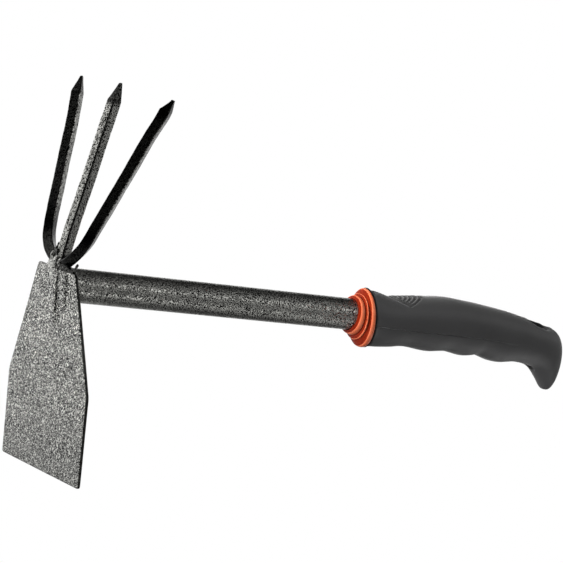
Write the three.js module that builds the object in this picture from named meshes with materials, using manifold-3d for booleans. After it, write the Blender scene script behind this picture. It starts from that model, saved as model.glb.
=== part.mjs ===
// Short hand hoe with a three-tine cultivator on the same welded head.
// Millimetres. +X runs along the tube from the head to the grip, +Z points up
// towards the tines, and Y is across the tool. The origin is the middle of the
// blade's cutting edge. The shapes are first laid out about the point where the
// tube's axis meets the blade's outer face, then moved to that origin.
import * as THREE from 'three';
import { mergeVertices } from 'three/addons/utils/BufferGeometryUtils.js';
import Module from 'manifold-3d';

const wasm = await Module();
wasm.setup();

// ---------------------------------------------------------------- dimensions
const GAP = 0.3;                   // clearance left between touching pieces

const TUBE_R = 9;                  // outside radius of the steel tube
const TUBE_WALL = 1.2;
const TUBE_END_X = 278;            // rear end, hidden in the grip

const BLADE_T = 1.6;               // plate thickness
const BLADE_LEAN = 2.9 * Math.PI / 180; // cutting edge leans towards the grip
const BLADE_TOP_Z = 8.25;          // top edge, just under the top of the tube
const BLADE_TOP_HALF = 22.9;
const BLADE_MID_HALF = 48.7;       // widest corners
const BLADE_LOW_HALF = 48.1;       // cutting edge
const BLADE_MID_S = 60.0;          // distance down the plate to the widest corners
const BLADE_LEN = 105.8;           // distance down the plate to the cutting edge
const BLADE_CORNER = [2.2, 3.0, 1.6]; // corner radii: top, widest, cutting edge

const BAR = 5.1;                   // side of the square tine bar
const TINE_POINT = 10.5;           // length of the sharpened point

const COLLAR_X0 = 184.6;
const COLLAR_X1 = 194.5;
const FERRULE_DROP = -0.8;          // the oval outline sits a little below the tube's axis
const FERRULE_TILT = 0.1;           // oval steps and grip mouth lean: the top is nearer the head
const BORE_R = TUBE_R + GAP;       // bore of ferrule and liner

const FLANGE_X0 = 194.8;           // liner flange: the thin rim behind the ferrule
const FLANGE_X1 = 195.6;
const LINER_R = 10.8;
const LINER_END_X = 281;

const SLEEVE_X0 = 195.9;           // middle of the leaning front edge
const SLEEVE_BORE_R = LINER_R + GAP;
const SLEEVE_BORE_END = 281.4;
const SECTION_POWER = 2.35;        // superellipse exponent of the grip section

const HOLE_X = 322.2;              // hang slot through the grip's hooked end
const HOLE_HALF_LEN = 6.6;
const HOLE_HALF_WID = 5.4;

// ------------------------------------------------------------------- helpers
const tanL = Math.tan(BLADE_LEAN), sinL = Math.sin(BLADE_LEAN), cosL = Math.cos(BLADE_LEAN);
const V = (x, y, z) => new THREE.Vector3(x, y, z);
// outer face of the plate at height z (passes through the layout's zero point)
const faceX = (z) => -z * tanL;
const backX = (z) => faceX(z) + BLADE_T / cosL;

function geometryFrom(positions, indices) {
  let vol = 0;
  const p = positions;
  for (let i = 0; i < indices.length; i += 3) {
    const [a, b, c] = [indices[i] * 3, indices[i + 1] * 3, indices[i + 2] * 3];
    vol += p[a] * (p[b + 1] * p[c + 2] - p[b + 2] * p[c + 1])
      - p[a + 1] * (p[b] * p[c + 2] - p[b + 2] * p[c])
      + p[a + 2] * (p[b] * p[c + 1] - p[b + 1] * p[c]);
  }
  if (vol < 0) for (let i = 0; i < indices.length; i += 3) {
    const t = indices[i + 1]; indices[i + 1] = indices[i + 2]; indices[i + 2] = t;
  }
  const g = new THREE.BufferGeometry();
  g.setAttribute('position', new THREE.Float32BufferAttribute(positions, 3));
  g.setIndex(indices);
  return g;
}

// Skin through rings of equal point count. closed: the last ring joins the
// first (a hollow body); otherwise both ends are capped.
function loft(rings, closed = false) {
  const n = rings[0].length, m = rings.length;
  const pos = [], idx = [];
  for (const r of rings) for (const v of r) pos.push(v.x, v.y, v.z);
  const last = closed ? m : m - 1;
  for (let i = 0; i < last; i++) {
    const a = i * n, b = ((i + 1) % m) * n;
    for (let k = 0; k < n; k++) {
      const k2 = (k + 1) % n;
      idx.push(a + k, b + k, b + k2, a + k, b + k2, a + k2);
    }
  }
  if (!closed) {
    for (const [ring, flip] of [[0, true], [m - 1, false]]) {
      const c = V(0, 0, 0);
      rings[ring].forEach((v) => c.add(v));
      c.divideScalar(n);
      const ci = pos.length / 3;
      pos.push(c.x, c.y, c.z);
      for (let k = 0; k < n; k++) {
        const a = ring * n + k, b = ring * n + (k + 1) % n;
        if (flip) idx.push(ci, a, b); else idx.push(ci, b, a);
      }
    }
  }
  return geometryFrom(pos, idx);
}

function toManifold(geometry) {
  const g = geometry.clone();
  g.deleteAttribute('normal');
  g.deleteAttribute('uv');
  const m = mergeVertices(g, 1e-4);
  return new wasm.Manifold(new wasm.Mesh({
    numProp: 3,
    vertProperties: new Float32Array(m.attributes.position.array),
    triVerts: new Uint32Array(m.index.array),
  }));
}

// largest single body of a boolean result
function toGeometry(solid) {
  const parts = solid.decompose();
  let best = parts[0];
  for (const q of parts) if (q.volume() > best.volume()) best = q;
  const mesh = best.getMesh();
  const g = new THREE.BufferGeometry();
  g.setAttribute('position', new THREE.Float32BufferAttribute(mesh.vertProperties, 3));
  g.setIndex(Array.from(mesh.triVerts));
  return g;
}

function ellipsoid(cx, cy, cz, rx, ry, rz) {
  const g = new THREE.IcosahedronGeometry(1, 5);
  g.deleteAttribute('normal');
  g.deleteAttribute('uv');
  const m = mergeVertices(g, 1e-4);
  m.scale(rx, ry, rz);
  m.translate(cx, cy, cz);
  return m;
}

// --------------------------------------------------------------------- blade
function bladeOutline(grow = 0) {
  const pts = [
    [BLADE_TOP_HALF, 0, BLADE_CORNER[0]],
    [BLADE_MID_HALF, -BLADE_MID_S, BLADE_CORNER[1]],
    [BLADE_LOW_HALF, -BLADE_LEN, BLADE_CORNER[2]],
    [-BLADE_LOW_HALF, -BLADE_LEN, BLADE_CORNER[2]],
    [-BLADE_MID_HALF, -BLADE_MID_S, BLADE_CORNER[1]],
    [-BLADE_TOP_HALF, 0, BLADE_CORNER[0]],
  ].map(([y, s, r]) => [y + Math.sign(y) * grow, s + (s === 0 ? grow : s === -BLADE_LEN ? -grow : 0), r]);
  const shape = new THREE.Shape();
  const n = pts.length;
  for (let i = 0; i < n; i++) {
    const [px, py] = pts[(i + n - 1) % n], [cx, cy, r] = pts[i], [nx, ny] = pts[(i + 1) % n];
    const a = new THREE.Vector2(px - cx, py - cy).normalize(), b = new THREE.Vector2(nx - cx, ny - cy).normalize();
    const p0 = [cx + a.x * r, cy + a.y * r], p1 = [cx + b.x * r, cy + b.y * r];
    if (i === 0) shape.moveTo(p0[0], p0[1]); else shape.lineTo(p0[0], p0[1]);
    shape.quadraticCurveTo(cx, cy, p1[0], p1[1]);
  }
  shape.closePath();
  return shape;
}

function bladeGeometry(grow = 0) {
  const g = new THREE.ExtrudeGeometry(bladeOutline(grow), {
    depth: BLADE_T + 2 * grow, bevelEnabled: false, curveSegments: 6,
  });
  g.translate(0, 0, -grow);
  // shape x -> across, shape y -> up the plate, depth -> from outer face to back
  const m = new THREE.Matrix4().makeBasis(V(0, 1, 0), V(-sinL, 0, cosL), V(cosL, 0, sinL));
  m.setPosition(faceX(BLADE_TOP_Z), 0, BLADE_TOP_Z);
  g.applyMatrix4(m);
  return g;
}

// --------------------------------------------------------------------- tines
// centre lines from the welded foot to the point, and the bar's roll about them
const TINE_LINES = {
  left: {
    pts: [[2.1, 6.6, 11.9], [2.4, 10.6, 12.9], [2.9, 17.6, 16.8], [4.1, 24.0, 22.7], [5.4, 27.4, 29.2],
      [7.1, 29.9, 38.5], [9.5, 32.9, 50.0], [12.7, 37.4, 65.0], [16.6, 42.3, 84.0], [20.8, 49.2, 110.2]],
    roll: 40, tip: [0.9, -0.9],
  },
  middle: {
    pts: [[2.1, 0.0, 9.5], [2.5, -0.1, 15.0], [4.6, -0.5, 28.5], [7.6, -1.1, 44.0], [10.95, -1.4, 60.5],
      [15.1, -1.2, 81.0], [18.5, -1.2, 97.5], [20.1, -0.6, 107.4]],
    roll: 15, tip: [0.9, -0.8],
  },
  right: {
    pts: [[2.5, -4.9, 11.9], [2.8, -8.8, 13.4], [3.7, -14.6, 17.4], [5.0, -20.2, 23.2], [6.9, -24.7, 32.0],
      [9.2, -29.1, 41.5], [11.5, -33.6, 51.5], [14.1, -38.6, 62.5], [18.3, -46.3, 80.5], [22.0, -51.4, 93.0], [23.1, -54.0, 100.8]],
    roll: 46, tip: [0.7, -0.5],
  },
};

function tineGeometry(name, grow = 0, footZ = null) {
  const { pts, roll, tip } = TINE_LINES[name];
  const curve = new THREE.CatmullRomCurve3(pts.map((p) => V(...p)), false, 'centripetal');
  const total = curve.getLength();
  const half = BAR / 2 + grow, r = 0.45;
  const rollR = roll * Math.PI / 180;
  // square section with small rounded corners
  const sect = [];
  for (let c = 0; c < 4; c++) {
    const sx = [1, -1, -1, 1][c], sy = [1, 1, -1, -1][c];
    for (let k = 0; k <= 2; k++) {
      const a = (c * 90 + k * 45) * Math.PI / 180;
      sect.push([sx * (half - r) + r * Math.cos(a), sy * (half - r) + r * Math.sin(a)]);
    }
  }
  const rings = [];
  const bodyLen = total - TINE_POINT;
  const stations = [];
  const N = 26;
  for (let i = 0; i <= N; i++) stations.push([bodyLen * i / N, 1]);
  // sharpened point, slightly rounded at its end
  for (const [f, s] of [[0.2, 0.86], [0.45, 0.66], [0.7, 0.44], [0.88, 0.32], [0.97, 0.225], [1.0, 0.1]]) {
    stations.push([bodyLen + TINE_POINT * f, s]);
  }
  for (const [s, k] of stations) {
    const u = Math.min(1, s / total);
    const p = curve.getPointAt(u), t = curve.getTangentAt(u);
    // axis a lies close to +X, axis b close to +Y
    const a = V(1, 0, 0).addScaledVector(t, -t.x).normalize();
    const b = new THREE.Vector3().crossVectors(t, a).normalize();
    const ra = a.clone().multiplyScalar(Math.cos(rollR)).addScaledVector(b, Math.sin(rollR));
    const rb = b.clone().multiplyScalar(Math.cos(rollR)).addScaledVector(a, -Math.sin(rollR));
    const f = 1 - k;
    const off = ra.clone().multiplyScalar(tip[0] * f).addScaledVector(rb, tip[1] * f);
    rings.push(sect.map(([x, y]) => {
      const q = p.clone().addScaledVector(ra, x * k).addScaledVector(rb, y * k).add(off);
      if (footZ !== null && rings.length === 0) {
        // foot cut level with the top of the tube
        q.addScaledVector(t, (footZ - q.z) / t.z);
      }
      return q;
    }));
  }
  return loft(rings);
}

const FOOT_Z = TUBE_R + 0.35;

// ---------------------------------------------------------------------- tube
function ringAt(x, ry, rz, n, shear = false) {
  const out = [];
  for (let k = 0; k < n; k++) {
    const a = 2 * Math.PI * k / n;
    const y = ry * Math.cos(a), z = rz * Math.sin(a);
    out.push(V(shear ? backX(z) + x : x, y, z));
  }
  return out;
}

function tubeGeometry() {
  const n = 64, ri = TUBE_R - TUBE_WALL;
  const front = (r) => ringAt(GAP, r, r, n, true);
  const xs = [30, 90, 150, 185, 230, TUBE_END_X];
  const rings = [front(TUBE_R)];
  for (const x of xs) rings.push(ringAt(x, TUBE_R, TUBE_R, n));
  for (const x of xs.slice().reverse()) rings.push(ringAt(x, ri, ri, n));
  rings.push(front(ri));
  return loft(rings, true);
}

// inflated solid tube, only used to keep the weld beads clear of it
function tubeClearance() {
  const n = 48, r = TUBE_R + GAP;
  return loft([ringAt(0, r, r, n, true), ringAt(30, r, r, n), ringAt(60, r, r, n)]);
}

// --------------------------------------------------------------------- welds
function weldAround() {
  // fillet run round the tube against the plate's back, open at the top
  const rings = [];
  const a0 = -222, a1 = 42, steps = 66;
  for (let i = 0; i <= steps; i++) {
    const a = (a0 + (a1 - a0) * i / steps) * Math.PI / 180;
    const wave = 0.22 * Math.sin(i * 1.05) + 0.12 * Math.sin(i * 2.3 + 1);
    const reach = 3.0 + wave, leg = 3.6 + wave;
    const prof = [];
    const m = 9;
    prof.push([GAP, GAP]);
    for (let k = 0; k <= m; k++) {
      const t = k / m;
      // hollow fillet curve from the plate to the tube
      const px = GAP + (leg - GAP) * t, pr = GAP + (reach - GAP) * (1 - t);
      const bulge = -0.55 * Math.sin(Math.PI * t);
      prof.push([px + bulge * 0.7, pr + bulge * 0.7]);
    }
    rings.push(prof.map(([px, pr]) => {
      const r = TUBE_R + pr, y = r * Math.cos(a), z = r * Math.sin(a);
      return V(backX(z) + px, y, z);
    }));
  }
  return loft(rings);
}

function ridgeGeometry() {
  // raised, tapering weld ridge down the outer face, under the middle bar
  const stations = [
    // down from the origin level, half width, height, side offset
    [-7.2, 2.2, 1.2, 0.2], [-5.6, 3.1, 2.0, 0.3], [-2.5, 3.4, 2.3, 0.1], [1.0, 3.2, 2.1, -0.1],
    [4.5, 2.9, 1.8, -0.1], [8.0, 2.5, 1.5, 0.1], [11.5, 2.0, 1.1, 0.2], [14.5, 1.4, 0.8, 0.2], [16.6, 0.6, 0.35, 0.2],
  ];
  const rings = stations.map(([d, w, h, o]) => {
    const out = [];
    const m = 14;
    for (let k = 0; k <= m; k++) {
      const a = Math.PI * k / m;
      out.push([o + w * Math.cos(a), GAP + h * Math.pow(Math.sin(a), 0.8)]);
    }
    out.push([o - w * 0.4, GAP], [o + w * 0.4, GAP]);
    // plate frame: across = Y, down the plate, outward = away from the grip
    return out.map(([y, out_]) => V(d * sinL - out_ * cosL, y, -d * cosL - out_ * sinL));
  });
  return loft(rings);
}

// -------------------------------------------------------------------- ferrule
function ferruleGeometry() {
  const n = 72;
  // x, half-width across, half-height
  const prof = [
    [COLLAR_X0, 10.3, 10.3], [COLLAR_X0 + 0.35, 10.9, 10.9], [COLLAR_X0 + 1.1, 11.2, 11.2], [187.0, 11.25, 11.35],
    [187.4, 11.3, 11.5], [187.6, 11.4, 12.2], [188.1, 11.6, 12.8], [189.0, 11.7, 13.1], [189.8, 11.7, 13.3],
    [190.1, 11.7, 13.5], [190.4, 11.75, 14.8], [191.0, 11.8, 15.7], [192.2, 11.9, 16.3], [193.4, 12.0, 16.5],
    [194.1, 11.9, 16.4], [COLLAR_X1, 11.75, 16.2],
  ];
  const rings = prof.map(([x, w, h]) => ringAt(x, w, h, n));
  for (const r of rings) for (const v of r) v.z += FERRULE_DROP * Math.min(1, (v.x - COLLAR_X0) / 6);
  rings.push(ringAt(COLLAR_X1, BORE_R, BORE_R, n));
  for (const r of rings) for (const v of r) if (v.x > 187.5) v.x -= FERRULE_TILT * v.z;
  rings.push(ringAt(COLLAR_X0, BORE_R, BORE_R, n));
  return loft(rings, true);
}

function linerGeometry() {
  const n = 72;
  const prof = [
    [FLANGE_X0, 12.0, 16.7], [FLANGE_X0 + 0.2, 12.2, 17.0], [FLANGE_X1 - 0.2, 12.2, 17.0], [FLANGE_X1, 12.0, 16.8],
    [FLANGE_X1, LINER_R, LINER_R], [LINER_END_X, LINER_R, LINER_R],
    [LINER_END_X, BORE_R, BORE_R], [FLANGE_X0, BORE_R, BORE_R],
  ];
  const rings = prof.map(([x, w, h]) => ringAt(x, w, h, n));
  for (const r of rings.slice(0, 4)) for (const v of r) v.z += FERRULE_DROP;
  for (const r of [...rings.slice(0, 5), rings[7]]) for (const v of r) v.x -= FERRULE_TILT * v.z;
  return loft(rings, true);
}

// ----------------------------------------------------------------------- grip
// upper outline x,z - lower outline x,z - half-width, front to hooked end
const GRIP = [
  [SLEEVE_X0 - FERRULE_TILT * 15.2, 15.2, SLEEVE_X0 + FERRULE_TILT * 17.4, -17.4, 12.0], [198.5, 14.5, 200.3, -17.2, 12.6],
  [203.0, 13.6, 203.6, -17.1, 13.0], [208.0, 13.1, 208.0, -16.8, 13.2],
  [214.0, 13.2, 214.0, -16.3, 13.3], [219.0, 13.6, 219.0, -15.6, 13.3], [224.0, 14.1, 224.0, -15.4, 13.4],
  [230.0, 14.7, 230.0, -15.9, 13.5], [236.0, 15.2, 236.0, -16.6, 13.6], [242.0, 15.7, 242.0, -16.8, 13.7],
  [248.0, 16.0, 248.0, -16.2, 13.7], [254.0, 15.9, 254.0, -15.8, 13.7], [260.0, 15.4, 260.0, -16.6, 13.7],
  [265.5, 15.0, 266.0, -17.5, 13.7], [271.0, 14.6, 271.8, -17.1, 13.6], [276.0, 14.1, 277.2, -16.2, 13.4],
  [281.0, 13.6, 282.8, -17.4, 13.3], [286.0, 13.0, 288.6, -18.9, 13.3], [291.5, 12.4, 294.8, -19.4, 13.3],
  [297.5, 11.5, 300.4, -18.9, 13.2], [303.5, 10.5, 306.0, -18.3, 13.1], [310.0, 9.2, 311.2, -18.5, 13.0],
  [317.0, 7.7, 316.0, -19.0, 12.9], [323.5, 6.5, 320.4, -20.0, 12.7], [329.8, 5.2, 324.2, -21.8, 12.4],
  [334.6, 3.6, 327.2, -24.2, 11.9], [337.8, 1.0, 329.6, -26.8, 11.3], [340.0, -3.0, 331.6, -29.2, 10.4],
  [341.2, -9.0, 333.2, -31.0, 9.4], [341.3, -15.5, 334.4, -32.3, 8.3], [340.6, -21.5, 335.3, -33.0, 7.1],
  [339.4, -26.5, 336.0, -33.4, 5.7], [338.4, -30.2, 336.6, -33.6, 4.1], [337.8, -32.3, 337.1, -33.6, 2.2],
];

function sleeveOuter(n = 56) {
  const rings = GRIP.map(([tx, tz, bx, bz, w]) => {
    const c = V((tx + bx) / 2, 0, (tz + bz) / 2);
    const up = V((tx - bx) / 2, 0, (tz - bz) / 2);
    const out = [];
    for (let k = 0; k < n; k++) {
      const a = 2 * Math.PI * k / n, ca = Math.cos(a), sa = Math.sin(a);
      const e = 2 / SECTION_POWER;
      const y = w * Math.sign(ca) * Math.pow(Math.abs(ca), e);
      const u = Math.sign(sa) * Math.pow(Math.abs(sa), e);
      out.push(V(c.x + up.x * u, y, c.z + up.z * u));
    }
    return out;
  });
  return loft(rings);
}

function hangSlot() {
  const shape = new THREE.Shape();
  const l = HOLE_HALF_LEN, w = HOLE_HALF_WID, r = 3.6;
  shape.moveTo(-l + r, -w);
  shape.lineTo(l - r, -w);
  shape.quadraticCurveTo(l, -w, l, -w + r);
  shape.lineTo(l, w - r);
  shape.quadraticCurveTo(l, w, l - r, w);
  shape.lineTo(-l + r, w);
  shape.quadraticCurveTo(-l, w, -l, w - r);
  shape.lineTo(-l, -w + r);
  shape.quadraticCurveTo(-l, -w, -l + r, -w);
  const g = new THREE.ExtrudeGeometry(shape, { depth: 90, bevelEnabled: false, curveSegments: 8 });
  g.translate(HOLE_X, 0, -60);
  return g;
}

function sleeveGeometry() {
  const n = 64;
  const bore = loft([ringAt(SLEEVE_X0 - 5, SLEEVE_BORE_R, SLEEVE_BORE_R, n), ringAt(SLEEVE_BORE_END, SLEEVE_BORE_R, SLEEVE_BORE_R, n)]);
  return toGeometry(toManifold(sleeveOuter()).subtract(toManifold(bore)).subtract(toManifold(hangSlot())));
}

// ----------------------------------------------------------------- assembly
const clearPlate = toManifold(bladeGeometry(GAP));
const clearTube = toManifold(tubeClearance());
const clearTines = ['left', 'middle', 'right'].map((n) => toManifold(tineGeometry(n, GAP, n === 'middle' ? FOOT_Z - GAP : null)));
const clearRidge = toManifold(ridgeGeometry());

function weldLump(blobs, extra = []) {
  let s = null;
  for (const b of blobs) {
    const m = toManifold(ellipsoid(...b));
    s = s ? s.add(m) : m;
  }
  for (const c of [clearPlate, clearTube, ...clearTines, ...extra]) s = s.subtract(c);
  return toGeometry(s);
}

// left nugget: bright lump between the left bar, the middle bar and the plate's top edge
const leftNugget = weldLump([
  [0.2, 5.0, 10.6, 3.0, 4.0, 3.0], [-0.6, 1.6, 9.4, 2.4, 3.4, 2.6], [0.8, 8.0, 10.4, 2.6, 2.8, 2.6],
]);
// right deposit: darker lump in the corner of the right bar, with a small burr
const rightNugget = weldLump([
  [0.0, -5.6, 9.0, 2.6, 3.4, 2.6], [0.4, -9.4, 8.8, 2.4, 3.0, 2.2], [-0.4, -12.2, 8.6, 1.5, 2.4, 1.3],
  [-0.3, -8.4, 2.4, 1.2, 3.4, 7.2],
], [toManifold(ellipsoid(-0.6, 1.6, 9.4, 2.4 + GAP, 3.4 + GAP, 2.6 + GAP)), toManifold(ellipsoid(0.2, 5.0, 10.6, 3.0 + GAP, 4.0 + GAP, 3.0 + GAP))]);
// ridge clear of both nuggets
const ridge = toGeometry(clearRidge
  .subtract(toManifold(ellipsoid(-0.6, 1.6, 9.4, 2.4 + GAP, 3.4 + GAP, 2.6 + GAP)))
  .subtract(toManifold(ellipsoid(0.2, 5.0, 10.6, 3.0 + GAP, 4.0 + GAP, 3.0 + GAP)))
  .subtract(toManifold(ellipsoid(0.0, -5.6, 9.0, 2.6 + GAP, 3.4 + GAP, 2.6 + GAP))));
const fillet = toGeometry(toManifold(weldAround())
  .subtract(clearTines[0]).subtract(clearTines[1]).subtract(clearTines[2])
  .subtract(toManifold(ellipsoid(0.4, -9.4, 8.8, 2.4 + GAP, 3.0 + GAP, 2.2 + GAP)))
  .subtract(toManifold(ellipsoid(0.0, -5.6, 9.0, 2.6 + GAP, 3.4 + GAP, 2.6 + GAP)))
  .subtract(toManifold(ellipsoid(0.8, 8.0, 10.4, 2.6 + GAP, 2.8 + GAP, 2.6 + GAP))));

const COLORS = {
  paint: { color: 0x5e5e60, metalness: 0.3, roughness: 0.45 },
  ferrule: { color: 0xd2502d, metalness: 0.0, roughness: 0.3 },
  liner: { color: 0x18181a, metalness: 0.0, roughness: 0.5 },
  rubber: { color: 0x3c3c3e, metalness: 0.0, roughness: 0.75 },
};

// middle of the cutting edge's flat end face, in the layout's own coordinates
const EDGE = V(
  faceX(BLADE_TOP_Z) + BLADE_LEN * sinL + BLADE_T / 2 * cosL, 0,
  BLADE_TOP_Z - BLADE_LEN * cosL + BLADE_T / 2 * sinL,
);

const group = new THREE.Group();
function add(name, geometry, style) {
  const g = geometry.index ? geometry.toNonIndexed() : geometry;
  g.deleteAttribute('uv');
  g.translate(-EDGE.x, -EDGE.y, -EDGE.z);
  g.computeVertexNormals();
  const mesh = new THREE.Mesh(g, new THREE.MeshStandardMaterial({ ...COLORS[style] }));
  mesh.name = name;
  group.add(mesh);
}

add('hoe_blade', bladeGeometry(), 'paint');
add('tine_left', tineGeometry('left'), 'paint');
add('tine_middle', tineGeometry('middle', 0, FOOT_Z), 'paint');
add('tine_right', tineGeometry('right'), 'paint');
add('weld_tine_left', leftNugget, 'paint');
add('weld_tine_right', rightNugget, 'paint');
add('weld_face_ridge', ridge, 'paint');
add('weld_tube_fillet', fillet, 'paint');
add('shaft_tube', tubeGeometry(), 'paint');
add('collar_ring', ferruleGeometry(), 'ferrule');
add('grip_core', linerGeometry(), 'liner');
add('grip_sleeve', sleeveGeometry(), 'rubber');

export default group;
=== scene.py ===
import math

import bmesh
import bpy
import numpy as np
from mathutils import Matrix, Vector, noise


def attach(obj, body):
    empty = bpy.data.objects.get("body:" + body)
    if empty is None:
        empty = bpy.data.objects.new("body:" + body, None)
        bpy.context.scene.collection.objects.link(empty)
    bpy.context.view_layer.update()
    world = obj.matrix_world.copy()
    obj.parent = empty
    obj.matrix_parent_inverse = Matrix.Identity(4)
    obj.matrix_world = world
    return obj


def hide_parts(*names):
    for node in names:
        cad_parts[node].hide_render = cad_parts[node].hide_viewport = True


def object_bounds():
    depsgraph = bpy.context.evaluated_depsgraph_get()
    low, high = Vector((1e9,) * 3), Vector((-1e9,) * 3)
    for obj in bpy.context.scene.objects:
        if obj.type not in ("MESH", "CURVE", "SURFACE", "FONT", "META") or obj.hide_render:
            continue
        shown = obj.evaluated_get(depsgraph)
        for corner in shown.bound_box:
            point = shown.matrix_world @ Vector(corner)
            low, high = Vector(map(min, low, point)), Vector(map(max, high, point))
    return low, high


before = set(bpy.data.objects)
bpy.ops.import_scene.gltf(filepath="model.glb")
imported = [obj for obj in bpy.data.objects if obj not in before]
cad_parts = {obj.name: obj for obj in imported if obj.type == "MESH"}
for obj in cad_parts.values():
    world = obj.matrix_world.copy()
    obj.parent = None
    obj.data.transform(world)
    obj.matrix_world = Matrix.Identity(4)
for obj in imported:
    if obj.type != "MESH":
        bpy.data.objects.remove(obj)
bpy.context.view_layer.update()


# ---------------------------------------------------------------------------
# Layout coordinates are millimetres about the point where the tube's axis meets
# the blade's outer face, as in the CAD source. OFF moves them to the row frame,
# whose origin is the middle of the cutting edge.
LEAN = math.radians(2.9)
SL, CL, TL = math.sin(LEAN), math.cos(LEAN), math.tan(LEAN)
TOP_Z, BL_LEN, BL_T = 8.25, 105.8, 1.6
OFF = np.array([
    -(-TOP_Z * TL + BL_LEN * SL + BL_T / 2 * CL),
    0.0,
    -(TOP_Z - BL_LEN * CL + BL_T / 2 * SL),
])


def W(p):
    """layout millimetres to row-frame metres"""
    return (np.asarray(p, float) + OFF) / 1000.0


def nz(p, scale, seed=0.0):
    """smooth noise in -1..1 at a point in mm"""
    return noise.noise(Vector((p[0] * scale + seed, p[1] * scale - seed * 0.7, p[2] * scale + seed * 1.3)))


def nzs(P, scale, seed=0.0):
    return np.array([nz(p, scale, seed) for p in P])


def build(name, verts_mm, faces, mat, replaces=(), smooth=True, sharp=None):
    me = bpy.data.meshes.new(name)
    me.from_pydata([tuple(v) for v in W(verts_mm)], [], faces)
    me.validate()
    bm = bmesh.new()
    bm.from_mesh(me)
    bmesh.ops.recalc_face_normals(bm, faces=bm.faces)
    bm.to_mesh(me)
    bm.free()
    ob = bpy.data.objects.new(name, me)
    bpy.context.scene.collection.objects.link(ob)
    finish(ob, mat, replaces, smooth, sharp)
    return ob


def finish(ob, mat, replaces=(), smooth=True, sharp=None):
    me = ob.data
    if smooth:
        me.polygons.foreach_set("use_smooth", [True] * len(me.polygons))
        if sharp is not None:
            me.set_sharp_from_angle(angle=math.radians(sharp))
    me.materials.clear()
    me.materials.append(mat)
    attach(ob, "root")
    if replaces:
        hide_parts(*replaces)
    me.update()


def ring_faces(m, n, closed=False, cap0=True, cap1=True):
    f = []
    last = m if closed else m - 1
    for i in range(last):
        a, b = i * n, ((i + 1) % m) * n
        for k in range(n):
            k2 = (k + 1) % n
            f.append((a + k, b + k, b + k2, a + k2))
    if not closed:
        if cap0:
            f.append(tuple(range(n)))
        if cap1:
            f.append(tuple(range((m - 1) * n, m * n)))
    return f


def vertex_normals(P, F):
    """area-weighted vertex normals of a quad and n-gon mesh"""
    N = np.zeros_like(P)
    quads = np.array([f for f in F if len(f) == 4])
    d1 = P[quads[:, 2]] - P[quads[:, 0]]
    d2 = P[quads[:, 3]] - P[quads[:, 1]]
    fn = np.cross(d1, d2)
    for c in range(4):
        np.add.at(N, quads[:, c], fn)
    ln = np.linalg.norm(N, axis=1)
    ln[ln == 0] = 1
    return N / ln[:, None]


def outward(P, F, N):
    """flip the normals if they point in, judged by the signed volume"""
    vol = 0.0
    for f in F[:: max(1, len(F) // 6000)]:
        a = P[f[0]]
        for i in range(1, len(f) - 1):
            vol += np.dot(a, np.cross(P[f[i]], P[f[i + 1]]))
    return N if vol >= 0 else -N


def hammer(P, F, amp, seed=0.0):
    """the shallow pebbled relief of hammered paint, as real displacement, in mm"""
    N = outward(P, F, vertex_normals(P, F))
    h = nzs(P, 0.9, seed) * 0.6 + nzs(P, 1.7, seed + 9) * 0.4
    return P + N * (amp * h)[:, None]


def catmull(pts, n):
    """centripetal Catmull-Rom through pts, resampled to n points of equal arc length"""
    P = np.asarray(pts, float)
    P = np.vstack([2 * P[0] - P[1], P, 2 * P[-1] - P[-2]])
    out = []
    for i in range(len(P) - 3):
        p0, p1, p2, p3 = P[i:i + 4]
        t0 = 0.0
        t1 = t0 + max(1e-6, np.linalg.norm(p1 - p0)) ** 0.5
        t2 = t1 + max(1e-6, np.linalg.norm(p2 - p1)) ** 0.5
        t3 = t2 + max(1e-6, np.linalg.norm(p3 - p2)) ** 0.5
        for t in np.linspace(t1, t2, 40, endpoint=False):
            a1 = (t1 - t) / (t1 - t0) * p0 + (t - t0) / (t1 - t0) * p1
            a2 = (t2 - t) / (t2 - t1) * p1 + (t - t1) / (t2 - t1) * p2
            a3 = (t3 - t) / (t3 - t2) * p2 + (t - t2) / (t3 - t2) * p3
            b1 = (t2 - t) / (t2 - t0) * a1 + (t - t0) / (t2 - t0) * a2
            b2 = (t3 - t) / (t3 - t1) * a2 + (t - t1) / (t3 - t1) * a3
            out.append((t2 - t) / (t2 - t1) * b1 + (t - t1) / (t2 - t1) * b2)
    out.append(P[-2])
    out = np.array(out)
    d = np.r_[0, np.cumsum(np.linalg.norm(np.diff(out, axis=0), axis=1))]
    u = np.linspace(0, d[-1], n)
    return np.stack([np.interp(u, d, out[:, k]) for k in range(out.shape[1])], 1), d[-1]


# ------------------------------------------------------------------ materials
def new_mat(name):
    m = bpy.data.materials.new(name)
    m.use_nodes = True
    nt = m.node_tree
    nt.nodes.clear()
    out = nt.nodes.new("ShaderNodeOutputMaterial")
    b = nt.nodes.new("ShaderNodeBsdfPrincipled")
    nt.links.new(b.outputs[0], out.inputs[0])
    return m, nt, b


def node(nt, kind, **kw):
    n = nt.nodes.new(kind)
    for k, v in kw.items():
        if k in n.inputs.keys():
            n.inputs[k].default_value = v
        else:
            setattr(n, k, v)
    return n


def ramp(nt, fac, stops, interp="LINEAR"):
    r = nt.nodes.new("ShaderNodeValToRGB")
    r.color_ramp.interpolation = interp
    el = r.color_ramp.elements
    while len(el) < len(stops):
        el.new(0.5)
    for e, (pos, col) in zip(el, stops):
        e.position = pos
        e.color = (*col, 1) if len(col) == 3 else col
    nt.links.new(fac, r.inputs[0])
    return r


def grey(v):
    return (v, v * 1.0, v * 0.94)


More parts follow.
